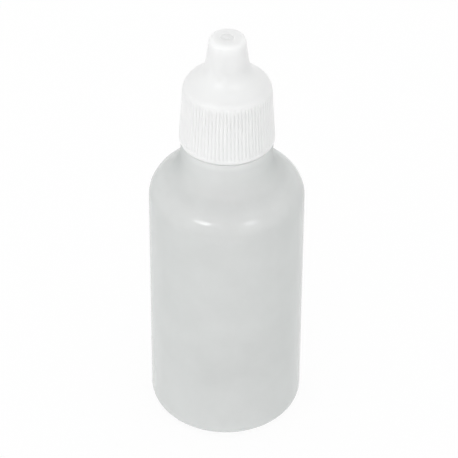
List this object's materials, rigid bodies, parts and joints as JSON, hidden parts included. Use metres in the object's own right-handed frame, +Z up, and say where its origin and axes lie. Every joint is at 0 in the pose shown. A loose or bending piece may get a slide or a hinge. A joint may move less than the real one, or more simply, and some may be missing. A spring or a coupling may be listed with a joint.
{
  "type": "dropper bottle",
  "caption": "Round translucent squeeze bottle with a soft shoulder, a push-in dropper plug and a ribbed white screw cap with a tall blunt tip.",
  "frame": {"origin": "centre of the base, on the surface the bottle stands on", "axes": "+Z up along the bottle's axis, from the base towards the cap's tip; X and Y are equal by symmetry, and the thread starts at +X"},
  "size_m": [0.031, 0.031, 0.0894],
  "materials": {
    "bottle": "milky translucent natural polyethylene, satin",
    "dropper_plug": "natural polyethylene, satin",
    "screw_cap": "white polypropylene, semi-gloss"
  },
  "bodies": {
    "container": {"bottle": "bottle"},
    "plug": {"dropper_plug": "dropper_plug"},
    "cap": {"screw_cap": "screw_cap"}
  },
  "joints": [
    {"name": "cap_turn", "type": "hinge", "parent": "container", "child": "plug", "pos_m": [0, 0, 0.0773], "axis": [0, 0, 1], "range_deg": [0, 3780]},
    {"name": "cap_rise", "type": "slide", "parent": "plug", "child": "cap", "axis": [0, 0, 1], "range_m": [0, 0.02223]}
  ],
  "couplings": [
    {"joint": "cap_rise", "follows": "cap_turn", "m_per_rad": 0.00033693}
  ]
}
